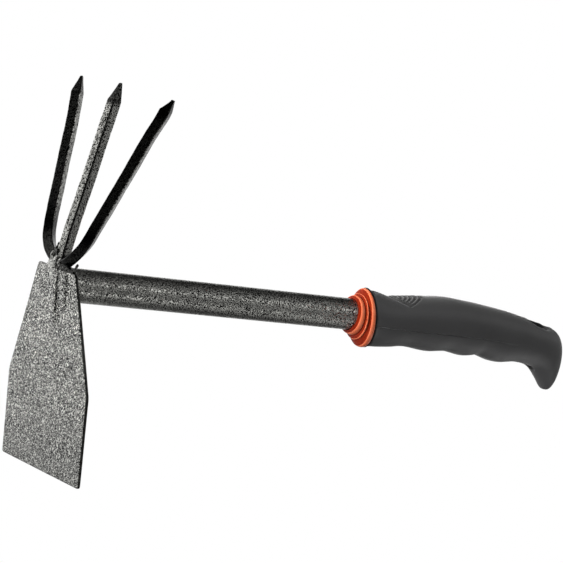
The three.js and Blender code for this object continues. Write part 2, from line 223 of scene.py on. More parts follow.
def hammer_paint(name, dark, mid, light, rough, scale=1180.0, bump=0.75, big=0.10, metallic=1.0, tilt=0.00011, dim=None, cut=0.0, span=(0.0, 125.0)):
    """hammered metallic paint: worm-like light ridges with dark pits between them"""
    m, nt, b = new_mat(name)
    L = nt.links
    tc = node(nt, "ShaderNodeTexCoord")
    n1 = node(nt, "ShaderNodeTexNoise", Scale=scale, Detail=0.6, Roughness=0.4, Distortion=0.35)
    L.new(tc.outputs["Object"], n1.inputs["Vector"])
    # the zero contours of a band-limited noise are the ridges
    dv = node(nt, "ShaderNodeMath", operation="SUBTRACT")
    L.new(n1.outputs[0], dv.inputs[0])
    dv.inputs[1].default_value = 0.5
    ab = node(nt, "ShaderNodeMath", operation="ABSOLUTE")
    L.new(dv.outputs[0], ab.inputs[0])
    ridge = node(nt, "ShaderNodeMapRange")
    ridge.interpolation_type = "SMOOTHSTEP"
    L.new(ab.outputs[0], ridge.inputs["Value"])
    ridge.inputs["From Min"].default_value = 0.17
    ridge.inputs["From Max"].default_value = 0.0
    # patches where the ridges close up, and finer grain inside them
    n2 = node(nt, "ShaderNodeTexNoise", Scale=scale * 0.42, Detail=1.5)
    L.new(tc.outputs["Object"], n2.inputs["Vector"])
    n3 = node(nt, "ShaderNodeTexNoise", Scale=scale * 2.4, Detail=1.0)
    L.new(tc.outputs["Object"], n3.inputs["Vector"])
    m1 = node(nt, "ShaderNodeMath", operation="MULTIPLY_ADD")
    L.new(n2.outputs[0], m1.inputs[0])
    m1.inputs[1].default_value = 0.22
    L.new(ridge.outputs[0], m1.inputs[2])
    m2 = node(nt, "ShaderNodeMath", operation="MULTIPLY_ADD")
    L.new(n3.outputs[0], m2.inputs[0])
    m2.inputs[1].default_value = 0.35
    L.new(m1.outputs[0], m2.inputs[2])                 # about 0.3 .. 1.4
    t = node(nt, "ShaderNodeMapRange")
    L.new(m2.outputs[0], t.inputs["Value"])
    t.inputs["From Min"].default_value = 0.25
    t.inputs["From Max"].default_value = 1.34
    large = node(nt, "ShaderNodeTexNoise", Scale=45.0, Detail=3.0, Roughness=0.6)
    L.new(tc.outputs["Object"], large.inputs["Vector"])
    col = ramp(nt, t.outputs[0], [(0.30 + cut, grey(dark)), (0.50 + cut, grey(mid)), (0.68 + cut, grey(light))])
    shade = ramp(nt, large.outputs[0], [(0.3, (1 - big,) * 3), (0.7, (1 + big * 0.4,) * 3)])
    mul = node(nt, "ShaderNodeMix", data_type="RGBA", blend_type="MULTIPLY")
    mul.inputs[0].default_value = 1.0
    L.new(col.outputs[0], mul.inputs[6])
    L.new(shade.outputs[0], mul.inputs[7])
    paint = mul.outputs[2]
    if dim:
        # darkened along layout z by the given (layout z, factor) stops: painted shade at the tines' roots and points;
        # on the blade, darker towards the cutting edge
        sep = node(nt, "ShaderNodeSeparateXYZ")
        L.new(tc.outputs["Object"], sep.inputs[0])
        zr = node(nt, "ShaderNodeMapRange")
        L.new(sep.outputs["Z"], zr.inputs["Value"])
        zr.inputs["From Min"].default_value = (OFF[2] + span[0]) / 1000.0
        zr.inputs["From Max"].default_value = (OFF[2] + span[1]) / 1000.0
        z_dim_ramp = ramp(nt, zr.outputs[0], [((z_ - span[0]) / (span[1] - span[0]), (f_,) * 3) for z_, f_ in dim])
        mul2 = node(nt, "ShaderNodeMix", data_type="RGBA", blend_type="MULTIPLY")
        mul2.inputs[0].default_value = 1.0
        L.new(paint, mul2.inputs[6])
        L.new(z_dim_ramp.outputs[0], mul2.inputs[7])
        paint = mul2.outputs[2]
    L.new(paint, b.inputs["Base Color"])
    rr = ramp(nt, t.outputs[0], [(0.1, (rough + 0.10,) * 3), (0.8, (rough,) * 3)])
    L.new(rr.outputs[0], b.inputs["Roughness"])
    b.inputs["Metallic"].default_value = metallic
    bp = node(nt, "ShaderNodeBump", Strength=bump, Distance=tilt)
    L.new(t.outputs[0], bp.inputs["Height"])
    L.new(bp.outputs[0], b.inputs["Normal"])
    return m


def rubber(name, base0=0.038, top_light_tone=0.072):
    m, nt, b = new_mat(name)
    L = nt.links
    tc = node(nt, "ShaderNodeTexCoord")
    big = node(nt, "ShaderNodeTexNoise", Scale=28.0, Detail=4.0, Roughness=0.55)
    L.new(tc.outputs["Object"], big.inputs["Vector"])
    grain = node(nt, "ShaderNodeTexNoise", Scale=2600.0, Detail=2.0, Roughness=0.6)
    L.new(tc.outputs["Object"], grain.inputs["Vector"])
    scuff = node(nt, "ShaderNodeTexNoise", Scale=110.0, Detail=5.0, Roughness=0.7, Distortion=0.6)
    L.new(tc.outputs["Object"], scuff.inputs["Vector"])
    base = ramp(nt, big.outputs[0], [(0.3, (base0, base0, base0 * 1.02)), (0.7, (base0 * 1.35, base0 * 1.35, base0 * 1.39))])
    sc = ramp(nt, scuff.outputs[0], [(0.58, (0, 0, 0)), (0.80, (1, 1, 1))])
    mix = node(nt, "ShaderNodeMix", data_type="RGBA", blend_type="MIX")
    fac = node(nt, "ShaderNodeMath", operation="MULTIPLY")
    L.new(sc.outputs[0], fac.inputs[0])
    fac.inputs[1].default_value = 0.22
    L.new(fac.outputs[0], mix.inputs[0])
    L.new(base.outputs[0], mix.inputs[6])
    mix.inputs[7].default_value = (0.06, 0.06, 0.062, 1)
    # painted light: up-facing surfaces are painted paler for the light and sheen on the top
    geo = node(nt, "ShaderNodeNewGeometry")
    sep = node(nt, "ShaderNodeSeparateXYZ")
    L.new(geo.outputs["Normal"], sep.inputs[0])
    up = node(nt, "ShaderNodeMapRange")
    up.interpolation_type = "SMOOTHSTEP"
    L.new(sep.outputs["Z"], up.inputs["Value"])
    up.inputs["From Min"].default_value = 0.15
    up.inputs["From Max"].default_value = 0.95
    up.inputs["To Max"].default_value = 0.55
    top_light_mix = node(nt, "ShaderNodeMix", data_type="RGBA", blend_type="MIX")
    L.new(up.outputs[0], top_light_mix.inputs[0])
    L.new(mix.outputs[2], top_light_mix.inputs[6])
    top_light_mix.inputs[7].default_value = (top_light_tone, top_light_tone, top_light_tone * 0.97, 1)
    L.new(top_light_mix.outputs[2], b.inputs["Base Color"])
    rr = ramp(nt, scuff.outputs[0], [(0.35, (0.46,) * 3), (0.75, (0.56,) * 3)])
    L.new(rr.outputs[0], b.inputs["Roughness"])
    b.inputs["Specular IOR Level"].default_value = 0.85
    b.inputs["Sheen Weight"].default_value = 0.35
    b.inputs["Sheen Roughness"].default_value = 0.35
    bp = node(nt, "ShaderNodeBump", Strength=0.16, Distance=0.0002)
    L.new(grain.outputs[0], bp.inputs["Height"])
    bp2 = node(nt, "ShaderNodeBump", Strength=0.10, Distance=0.0008)
    L.new(scuff.outputs[0], bp2.inputs["Height"])
    L.new(bp.outputs[0], bp2.inputs["Normal"])
    L.new(bp2.outputs[0], b.inputs["Normal"])
    return m


def plastic(name, c0, c1, rough, coat=0.0, spec=0.5, sub=0.0, bump=0.08):
    m, nt, b = new_mat(name)
    L = nt.links
    tc = node(nt, "ShaderNodeTexCoord")
    big = node(nt, "ShaderNodeTexNoise", Scale=90.0, Detail=3.0)
    L.new(tc.outputs["Object"], big.inputs["Vector"])
    base = ramp(nt, big.outputs[0], [(0.35, c0), (0.7, c1)])
    L.new(base.outputs[0], b.inputs["Base Color"])
    sm = node(nt, "ShaderNodeTexNoise", Scale=420.0, Detail=4.0, Roughness=0.65)
    L.new(tc.outputs["Object"], sm.inputs["Vector"])
    rr = ramp(nt, sm.outputs[0], [(0.35, (rough - 0.05,) * 3), (0.75, (rough + 0.12,) * 3)])
    L.new(rr.outputs[0], b.inputs["Roughness"])
    b.inputs["Coat Weight"].default_value = coat
    b.inputs["Coat Roughness"].default_value = 0.12
    b.inputs["Specular IOR Level"].default_value = spec
    if sub:
        b.inputs["Subsurface Weight"].default_value = sub
        b.inputs["Subsurface Scale"].default_value = 0.0015
    bp = node(nt, "ShaderNodeBump", Strength=bump, Distance=0.0004)
    L.new(sm.outputs[0], bp.inputs["Height"])
    L.new(bp.outputs[0], b.inputs["Normal"])
    return m


M_BLADE = hammer_paint("paint_blade", 0.0, 0.015, 0.98, 0.16, scale=960.0, bump=1.2, cut=0.20, span=(-100.0, 0.0),
                       dim=[(-97.0, 0.72), (-70.0, 0.86), (-42.0, 0.97), (-20.0, 1.0)])
# painted shade: a dark copy of the paint, used on the blade's rim and along the middle bar's outer corner for their
# dark reflections
M_EDGE_PAINTED_SHADE = hammer_paint("paint_edge_painted_shade", 0.006, 0.03, 0.12, 0.26, bump=0.25)
M_TUBE = hammer_paint("paint_tube", 0.012, 0.19, 0.88, 0.19, scale=1320.0)
TINE_PAINT = dict(scale=1040.0, bump=0.42, tilt=0.00009)
# one paint on all three bars: their different dark, mid and light values are painted light and shade for how each bar
# is lit
M_TINE = {
    "left": hammer_paint("paint_tine_left", 0.006, 0.10, 0.62, 0.14, dim=[(30, 0.10), (44, 1.0), (99, 1.0), (102.5, 0.12)], **TINE_PAINT),
    "middle": hammer_paint("paint_tine_middle", 0.004, 0.12, 0.86, 0.14, dim=[(13, 0.3), (18, 1.0), (94.0, 1.0), (97.0, 0.12)], **TINE_PAINT),
    "right": hammer_paint("paint_tine_right", 0.014, 0.08, 0.27, 0.20, dim=[(27, 0.12), (40, 1.0), (89, 1.0), (92.5, 0.2)], **TINE_PAINT),
}
M_WELD = hammer_paint("paint_weld", 0.09, 0.46, 0.92, 0.26, scale=950.0, bump=0.6)
# painted shade: a near-black copy of the weld paint for the weld in the shadowed corner of the right bar and in the
# angle between the left and middle bars
M_WELD_PAINTED_SHADE = hammer_paint("weld_painted_shade", 0.003, 0.02, 0.15, 0.32, scale=900.0, bump=0.9)
M_RUBBER = rubber("grip_rubber")
# painted highlight: a paler copy of the rubber for the pad's welt and rib crests and the slot's near lip
M_RUBBER_PAINTED_HIGHLIGHT = rubber("grip_rubber_painted_highlight", base0=0.085, top_light_tone=0.16)
M_LINER = plastic("liner_plastic", (0.010, 0.010, 0.011), (0.016, 0.016, 0.017), 0.42)
M_ORANGE = plastic("ferrule_plastic", (0.88, 0.19, 0.080), (0.95, 0.225, 0.098), 0.34, coat=0.22, spec=0.35, sub=0.05, bump=0.03)
# painted shade: a deep red copy of the ferrule plastic for its recesses
M_RECESS_PAINTED_SHADE = plastic("ferrule_recess_painted_shade", (0.215, 0.0155, 0.0035), (0.26, 0.021, 0.005), 0.50, coat=0.0, spec=0.12, sub=0.03, bump=0.03)


# ---------------------------------------------------------------------- blade
def blade_half(s):
    a, b, c = 22.9, 48.7, 48.1
    s1 = 60.0

    def line(q):
        return a + (b - a) * q / s1 if q < s1 else b + (c - b) * (q - s1) / (BL_LEN - s1)
    w = line(s)
    if abs(s - s1) < 2.2:                      # soft widest corner
        k = np.linspace(-2.2, 2.2, 9)
        w = float(np.mean([line(s + q * (1 - abs(s - s1) / 2.2)) for q in k]))
    for r, d in ((1.5, s), (1.6, BL_LEN - s)):  # rounded end corners
        if d < r:
            w -= r - math.sqrt(max(0.0, r * r - (r - d) ** 2))
    return w


def plate_point(d, y, s):
    """depth behind the outer face, across, down the plate -> layout mm"""
    return np.array([
        -TOP_Z * TL + s * SL + d * CL,
        y,
        TOP_Z - s * CL + d * SL,
    ])


def sheared(P, S):
    """the plate's top edge was sheared a little out of square: higher at the far corner"""
    P = np.array(P, float)
    P[:, 2] += (0.050 * P[:, 1] - 0.12) * np.clip(1 - np.asarray(S) / 16.0, 0, 1)
    return P


def make_blade():
    re = 0.36
    ends = [re * (1 - math.cos(a)) for a in np.linspace(0, math.pi / 2, 5)]
    S = [e for e in ends]
    s = re
    while s < BL_LEN - re - 0.3:
        s += 0.27 if (s < 3 or s > BL_LEN - 3) else 0.56
        if s < BL_LEN - re:
            S.append(s)
    S += [BL_LEN - e for e in ends[::-1]]
    S = sorted(set(round(q, 4) for q in S))
    N, A = 176, 5
    rings = []
    for s in S:
        d_end = min(s, BL_LEN - s)
        e = 0.0 if d_end >= re else re - math.sqrt(max(0.0, re * re - (re - d_end) ** 2))
        w = blade_half(s)
        r = min(0.36, BL_T / 2 - e - 0.05)
        ring = []
        ys = np.linspace(-(w - r), w - r, N)
        for y in ys:
            ring.append((e, y))
        for a in np.linspace(0, math.pi / 2, A + 1)[1:]:
            ring.append((e + r - r * math.cos(a), w - r + r * math.sin(a)))
        for a in np.linspace(0, math.pi / 2, A + 1)[:-1]:
            ring.append((BL_T - e - r + r * math.sin(a), w - r + r * math.cos(a)))
        for y in ys[::-1]:
            ring.append((BL_T - e, y))
        for a in np.linspace(0, math.pi / 2, A + 1)[1:]:
            ring.append((BL_T - e - r + r * math.cos(a), -(w - r) - r * math.sin(a)))
        for a in np.linspace(0, math.pi / 2, A + 1)[:-1]:
            ring.append((e + r - r * math.sin(a), -(w - r) - r * math.cos(a)))
        rings.append([plate_point(d, y, s) for d, y in ring])
    n = len(rings[0])
    P = sheared(np.array(rings).reshape(-1, 3), np.repeat(S, n))
    F = ring_faces(len(rings), n)
    P = hammer(P, F, 0.035, 3.0)
    # hand-sheared plate: very slight waves
    P[:, 0] += 0.12 * nzs(P, 0.028, 5.0)
    ob = build("blade_plate", P, F, M_BLADE, ("hoe_blade",), sharp=50)
    # the sheared rim has a smoother relief than the two faces; its darker colour is painted shade for the dark
    # reflection along the rim
    ob.data.materials.append(M_EDGE_PAINTED_SHADE)
    for p in ob.data.polygons:
        if abs(p.normal.x) < 0.62:
            p.material_index = 1
    return ob


# ---------------------------------------------------------------------- tines
TINES = {
    "left": dict(pts=[[2.1, 6.6, 11.9], [2.4, 10.6, 12.9], [2.9, 17.6, 16.8], [4.1, 24.0, 22.7], [5.4, 27.4, 29.2],
                      [7.1, 29.9, 38.5], [9.5, 32.9, 50.0], [12.7, 37.4, 65.0], [16.6, 42.3, 84.0], [20.8, 49.2, 110.2]],
                 roll=43, tip=(0.9, -0.9), seed=11.0),
    "middle": dict(pts=[[2.1, 0.0, 9.5], [2.5, -0.1, 15.0], [4.6, -0.5, 28.5], [7.6, -1.1, 44.0], [10.95, -1.4, 60.5],
                        [15.1, -1.2, 81.0], [18.5, -1.2, 97.5], [20.1, -0.6, 107.4]],
                   roll=15, tip=(0.9, -0.8), seed=23.0),
    "right": dict(pts=[[2.5, -4.9, 11.9], [2.8, -8.8, 13.4], [3.7, -14.6, 17.4], [5.0, -20.2, 23.2], [6.9, -24.7, 32.0],
                       [9.2, -29.1, 41.5], [11.5, -33.6, 51.5], [14.1, -38.6, 62.5], [18.3, -46.3, 80.5], [22.0, -51.4, 93.0],
                       [23.1, -54.0, 100.8]],
                  roll=43, tip=(0.7, -1.9), seed=37.0),
}
BAR = 5.55


def make_tine(name):
    t = TINES[name]
    C, total = catmull(t["pts"], 400)
    half, r = BAR / 2, 0.56
    sect = []
    for c in range(4):
        sx, sy = [(1, 1), (-1, 1), (-1, -1), (1, -1)][c]
        for k in range(5):
            a = math.radians(c * 90 + k * 22.5)
            sect.append((sx * (half - r) + r * math.cos(a), sy * (half - r) + r * math.sin(a)))
        nx, ny = [(-1, 1), (-1, -1), (1, -1), (1, 1)][c]
        # points along the flat to the next corner
        p, q = sect[-1], (nx * (half - r) + r * math.cos(math.radians((c + 1) * 90)), ny * (half - r) + r * math.sin(math.radians((c + 1) * 90)))
        for k in range(1, 7):
            f = k / 7
            sect.append((p[0] + (q[0] - p[0]) * f, p[1] + (q[1] - p[1]) * f))
    long = 6.6 if name == "right" else 10.5       # the right bar's point is worn blunt
    body = total - long
    st = [(s, 1.0) for s in np.arange(0, body, 0.5)]
    for f, k in ((0, 1), (0.06, 0.985), (0.13, 0.93), (0.2, 0.865), (0.32, 0.765), (0.45, 0.66), (0.58, 0.55), (0.7, 0.445),
                 (0.8, 0.375), (0.88, 0.32), (0.94, 0.27), (0.97, 0.225), (0.99, 0.16), (1.0, 0.07)):
        st.append((body + long * f, max(k, 0.30) if name == "right" and f < 1 else k))
    rr = math.radians(t["roll"])
    d = np.linspace(0, total, 400)
    T = np.gradient(C, d, axis=0)
    rings = []
    for s, k in st:
        p = np.array([np.interp(s, d, C[:, i]) for i in range(3)])
        tg = np.array([np.interp(s, d, T[:, i]) for i in range(3)])
        tg /= np.linalg.norm(tg)
        a = np.array([1.0, 0, 0]) - tg * tg[0]
        a /= np.linalg.norm(a)
        b = np.cross(tg, a)
        ra = a * math.cos(rr) + b * math.sin(rr)
        rb = b * math.cos(rr) - a * math.sin(rr)
        # forged, slightly uneven bar
        wob = 1 + 0.012 * math.sin(s * 0.21 + t["seed"]) + 0.008 * math.sin(s * 0.67)
        off = (ra * t["tip"][0] + rb * t["tip"][1]) * (1 - k)
        rings.append([p + ra * x * k * wob + rb * y * k * wob + off for x, y in sect])
    n = len(sect)
    P = np.array(rings).reshape(-1, 3)
    F = ring_faces(len(rings), n)
    P = hammer(P, F, 0.03, t["seed"])
    ob = build("tine_%s_bar" % name, P, F, M_TINE[name], ("tine_" + name,), sharp=None)
    if name == "middle":
        # painted shade: a dark line along the bar's outer corner, for the corner's dark reflection
        ob.data.materials.append(M_EDGE_PAINTED_SHADE)
        for p in ob.data.polygons:
            if all(22 <= v % n <= 26 for v in p.vertices):
                p.material_index = 1
    return ob


# ----------------------------------------------------------------------- tube
def make_tube():
    n, R, Ri = 128, 9.0, 7.8
    xs = np.arange(1.0, 186.0, 0.62).tolist() + [200.0, 240.0, 278.0]
    rings = []

    def ring(x, r, shear):
        out = []
        for k in range(n):
            a = 2 * math.pi * k / n
            y, z = r * math.cos(a), r * math.sin(a)
            out.append(((-z * TL + BL_T / CL + x) if shear else x, y, z))
        return out
    rings.append(ring(0.05, R, True))
    for x in xs[3:]:
        rings.append(ring(x, R, False))
    rings.append(ring(278.0, Ri, False))
    rings.append(ring(60.0, Ri, False))
    rings.append(ring(0.05, Ri, True))
    P = np.array(rings).reshape(-1, 3)
    F = ring_faces(len(rings), n, closed=True)
    Q = hammer(P, F, 0.03, 51.0)
    keep = (P[:, 0] < 190)
    P[keep] = Q[keep]
    return build("tube_shaft", P, F, M_TUBE, ("shaft_tube",), sharp=50)


# ---------------------------------------------------------------------- welds
def blob_mesh(name, blobs, voxel, mat, replaces, amp=0.25, seed=0.0, extra=None):
    """ellipsoids (and drops) fused by voxel remesh, smoothed, then roughened"""
    bm = bmesh.new()
    for cx, cy, cz, rx, ry, rz in blobs:
        ret = bmesh.ops.create_icosphere(bm, subdivisions=4, radius=1.0)
        for v in ret["verts"]:
            p = np.array([v.co.x * rx + cx, v.co.y * ry + cy, v.co.z * rz + cz])
            v.co = Vector(W(p))
    if extra:
        extra(bm)
    me = bpy.data.meshes.new(name)
    bm.to_mesh(me)
    bm.free()
    ob = bpy.data.objects.new(name, me)
    bpy.context.scene.collection.objects.link(ob)
    rm = ob.modifiers.new("r", "REMESH")
    rm.mode = "VOXEL"
    rm.voxel_size = voxel / 1000.0
    sm = ob.modifiers.new("s", "SMOOTH")
    sm.factor = 0.8
    sm.iterations = 6
    dg = bpy.context.evaluated_depsgraph_get()
    me2 = bpy.data.meshes.new_from_object(ob.evaluated_get(dg))
    ob.modifiers.clear()
    ob.data = me2
    co = np.zeros(len(me2.vertices) * 3)
    me2.vertices.foreach_get("co", co)
    co = co.reshape(-1, 3)
    no = np.zeros(len(me2.vertices) * 3)
    me2.vertices.foreach_get("normal", no)
    no = no.reshape(-1, 3)
    mm = co * 1000.0 - OFF
    h = nzs(mm, 0.45, seed) * 0.6 + nzs(mm, 1.1, seed + 4) * 0.4
    co = co + no * (amp * h / 1000.0)[:, None]
    me2.vertices.foreach_set("co", co.ravel())
    finish(ob, mat, replaces)
    return ob


def make_welds():
    # bright saddle of weld under the left bar, running across to the middle bar and down onto the face
    blob_mesh("weld_nugget_left", [
        (-0.3, 3.2, 9.2, 2.3, 5.4, 4.0), (1.2, 7.6, 11.0, 2.9, 3.3, 3.0), (0.6, 1.0, 12.2, 2.4, 3.2, 2.8),
        (0.1, 9.4, 8.8, 1.6, 2.6, 1.8), (0.1, 3.0, 4.6, 0.9, 5.6, 5.2), (0.9, -1.6, 11.0, 2.0, 1.9, 2.8),
        (1.3, 8.6, 14.2, 2.2, 2.1, 2.2),
    ], 0.32, M_WELD, ("weld_tine_left",), amp=0.38, seed=2.0)

    def burr(bm):
        # a thin spatter whisker standing off the corner of the plate
        pts = [np.array(p) for p in ((0.9, -16.2, 7.4), (0.9, -17.9, 8.4), (1.1, -19.4, 10.0), (1.3, -20.8, 11.9))]
        for k in range(22):
            f = k / 21 * 3
            i = min(2, int(f))
            p = pts[i] * (1 - (f - i)) + pts[i + 1] * (f - i)
            r = 0.95 - 0.36 * k / 21 + (0.14 if k > 18 else 0)
            ret = bmesh.ops.create_icosphere(bm, subdivisions=2, radius=r / 1000.0)
            for v in ret["verts"]:
                v.co += Vector(W(p))
    # deposit in the corner of the right bar, with drips along the plate's top edge; painted near-black as painted shade
    # for the shadowed recess there
    blob_mesh("weld_nugget_right", [
        (1.7, -5.4, 9.6, 2.3, 2.4, 2.2), (1.4, -8.6, 9.0, 2.4, 3.0, 1.9), (0.9, -12.0, 8.4, 1.8, 2.6, 1.4),
        (0.6, -15.4, 8.0, 1.3, 2.6, 1.3), (0.7, -18.8, 7.7, 1.3, 2.4, 1.5), (2.4, -6.0, 11.6, 2.4, 2.2, 1.9),
        (0.6, -3.4, 7.9, 1.3, 2.0, 2.6), (0.2, -5.6, 6.6, 1.0, 2.0, 2.2),
    ], 0.30, M_WELD_PAINTED_SHADE, ("weld_tine_right",), amp=0.36, seed=8.0, extra=burr)
    # lump of spatter in the angle between the left and the middle bars, painted near-black as painted shade in that
    # angle
    blob_mesh("weld_spatter_middle", [
        (0.4, 3.4, 17.2, 1.5, 1.9, 2.3), (1.0, 2.2, 14.6, 1.7, 1.6, 2.0), (0.9, 3.0, 20.0, 1.2, 1.2, 1.6),
        (0.0, 1.2, 16.6, 1.2, 1.5, 1.7),
    ], 0.26, M_WELD_PAINTED_SHADE, (), amp=0.40, seed=14.0)


def make_ridge():
    """the raised tapering ridge on the outer face, a height field let into the plate"""
    ny, ns = 110, 118
    y0, y1, s0, s1 = -19.0, 10.0, 0.25, 33.0
    ys = np.linspace(y1, y0, ny)
    ss = np.linspace(s0, s1, ns)

    def bump(d, w):
        return math.exp(-(d / w) ** 2)

    def height(y, s):
        d = s - 8.0                                   # below the tube's axis
        taper = max(0.0, min(1.0, (31 - s) / 22.0))
        c = -0.4 - 0.12 * max(0.0, d)                 # centre line drifts to the near side
        w = 3.7 * (0.45 + 0.55 * taper)
        q = (y - c) / w
        # bar-like crest with a soft far side and a steep near side
        prof = 1 / (1 + math.exp((abs(q) - 1.0) * (5.0 if q > 0 else 5.5)))
        h = 1.35 * taper ** 0.8 * prof
        # second, lower swelling beside it
        c2 = -10.4 - 0.05 * d
        t2 = max(0.0, min(1.0, (25 - s) / 14.0))
        q2 = (y - c2) / (4.6 * (0.6 + 0.4 * t2))
        h += 0.95 * t2 * (1 / (1 + math.exp((abs(q2) - 1.0) * (6.0 if q2 < 0 else 9.0))))
        # drawn-out toe under both
        h += 0.55 * bump(y + 4.6, 4.2) * bump(s - 24, 6.0)
        # cracks where the swellings meet the plate
        bead = 0.45 + 1.3 * nz((y * 0.3, s, 0), 0.75, 12.0)
        crack = 0.75 * bead * bump(y - (c - w * 1.02) - 0.5 * nz((0, s, 0), 0.5, 5.0), 0.32) * bump(s - 15, 8.0)
        crack += 0.8 * bead * bump(y + 15.2, 0.5) * bump(s - 17.5, 4.5)
        lump = 0.35 * nz((y, s, 0), 0.42, 3.0) + 0.2 * nz((y, s, 0), 0.95, 7.0)
        edge = min(1.0, (y1 - y) / 2.5, (y - y0) / 2.5, (s1 - s) / 3.0)
        h = h + lump * min(1.0, h * 1.2) - crack * 0.8
        h = h * max(0.0, edge) - 0.16 + 0.10 * max(0.0, edge)
        return h
    P, F = [], []
    for s in ss:
        for y in ys:
            P.append(plate_point(-height(y, s), y, s))
    top = len(P)
    for s in ss:
        for y in ys:
            P.append(plate_point(0.75, y, s))
    for i in range(ns - 1):
        for j in range(ny - 1):
            a = i * ny + j
            F.append((a, a + 1, a + ny + 1, a + ny))
            b = top + a
            F.append((b, b + ny, b + ny + 1, b + 1))
    for i in range(ns - 1):
        for j in (0, ny - 1):
            a, b = i * ny + j, (i + 1) * ny + j
            F.append((a, b, top + b, top + a))
    for j in range(ny - 1):
        for i in (0, ns - 1):
            a, b = i * ny + j, i * ny + j + 1
            F.append((a, b, top + b, top + a))
    P = sheared(P, np.tile(np.repeat(ss, ny), 2))
    h = nzs(P[:top], 0.62, 3.0) * 0.055
    P[:top, 0] -= h
    return build("weld_ridge", P, F, M_BLADE, ("weld_face_ridge",), sharp=None)


def make_fillet():
    """weld run round the tube against the plate's back, with overlapping ripples"""
    m, n = 300, 22
    a0, a1 = -232, 52
    rings = []
    for i in range(m):
        a = math.radians(a0 + (a1 - a0) * i / (m - 1))
        arc = a * 9.5
        ripple = 0.28 * abs(math.sin(arc * 1.15)) + 0.22 * nz((arc, 0, 0), 0.5, 2.0)
        end = min(1.0, i / 10.0, (m - 1 - i) / 10.0)
        leg, reach = (3.9 + ripple) * (0.35 + 0.65 * end), (3.4 + ripple) * (0.35 + 0.65 * end)
        ring = []
        for k in range(n):
            t = k / (n - 1)
            if k == 0:
                px, pr = -0.3, -0.4
            else:
                u = (k - 1) / (n - 2)
                px = -0.3 + (leg + 0.3) * u
                pr = -0.4 + (reach + 0.4) * (1 - u)
                bulge = 0.10 * leg * math.sin(math.pi * u)
                px += bulge
                pr += bulge
            r = 9.0 + pr
            y, z = r * math.cos(a), r * math.sin(a)
            ring.append((-z * TL + BL_T / CL + px, y, z))
        rings.append(ring)
    P = np.array(rings).reshape(-1, 3)
    F = ring_faces(m, n)
    P = hammer(P, F, 0.09, 70.0)
    return build("weld_fillet", P, F, M_WELD, ("weld_tube_fillet",), sharp=None)


# -------------------------------------------------------------------- ferrule
def oval(x, w, h, n, dz=0.0):
    return [(x, w * math.cos(2 * math.pi * k / n), h * math.sin(2 * math.pi * k / n) + dz) for k in range(n)]


OVAL_TILT = 0.1                       # the widest ring leans, its top nearer the head


def leaning(x, w, h, n, drop=0.0, tilt=OVAL_TILT):
    return [(px - tilt * pz, py, pz) for px, py, pz in oval(x, w, h, n, drop)]


def make_ferrule():
    """three rounded rings with recesses between them, each larger and more oval than the last"""
    n = 176
    prof = [
        (184.40, 9.30, 9.30), (184.46, 9.60, 9.62), (184.70, 9.95, 9.98), (185.00, 10.25, 10.30), (185.25, 10.55, 10.62),
        (185.55, 10.80, 10.90), (185.95, 10.98, 11.12), (186.5, 11.06, 11.22), (187.1, 11.06, 11.24), (187.6, 10.98, 11.18),
        (188.0, 10.82, 11.06), (188.3, 10.62, 10.98), (188.55, 10.55, 11.05), (188.8, 10.70, 11.50), (188.98, 11.10, 12.15),
        (189.15, 11.50, 12.75), (189.40, 11.76, 13.12), (189.70, 11.82, 13.24), (190.0, 11.70, 13.18), (190.25, 11.48, 13.08),
        (190.5, 11.32, 13.40), (190.9, 11.28, 14.15), (191.3, 11.36, 14.95), (191.65, 11.58, 15.60), (191.95, 11.90, 16.10),
        (192.25, 12.20, 16.45), (192.6, 12.40, 16.72), (193.1, 12.50, 16.90), (193.7, 12.52, 16.96), (194.2, 12.46, 16.90),
        (194.6, 12.32, 16.74), (194.85, 12.08, 16.46), (194.96, 11.75, 16.05), (195.0, 11.35, 15.6),
    ]
    fine = []
    for (a, b) in zip(prof[:-1], prof[1:]):
        for k in range(3):
            f = k / 3
            fine.append([a[i] + (b[i] - a[i]) * f for i in range(3)])
    fine.append(list(prof[-1]))
    fine = np.array(fine)
    fine[1:-1] = fine[1:-1] * 0.5 + (fine[:-2] + fine[2:]) * 0.25

    def tilt(x):
        return float(np.interp(x, [184.4, 188.4, 191.0, 195.1], [-0.09, -0.03, 0.03, OVAL_TILT]))

    def drop(x):
        return -1.28 * max(0.0, min(1.0, (x - 185.5) / 6))
    rings = [leaning(x, w, h, n, drop=drop(x), tilt=tilt(x)) for x, w, h in fine]
    rings.append(leaning(195.0, 9.05, 9.05, n, drop=0.0))
    rings.append(leaning(184.4, 9.05, 9.05, n, drop=0.0, tilt=-0.09))
    P = np.array(rings).reshape(-1, 3)
    F = ring_faces(len(rings), n, closed=True)
    # slightly uneven moulding
    N = outward(P, F, vertex_normals(P, F))
    P = P + N * (0.035 * nzs(P, 0.22, 4.0))[:, None]
    ob = build("ferrule_steps", P, F, M_ORANGE, ("collar_ring",), sharp=None)
    # painted shade: the recesses are painted deep red for the shade in them; the rings' crowns keep the plastic's
    # orange
    ob.data.materials.append(M_RECESS_PAINTED_SHADE)
    crowns = ((185.2, 188.05), (189.2, 190.05), (192.05, 194.7))
    for p in ob.data.polygons:
        i = p.index // n
        x = fine[min(i, len(fine) - 1)][0]
        if not any(lo <= x <= hi for lo, hi in crowns):
            p.material_index = 1
    return ob


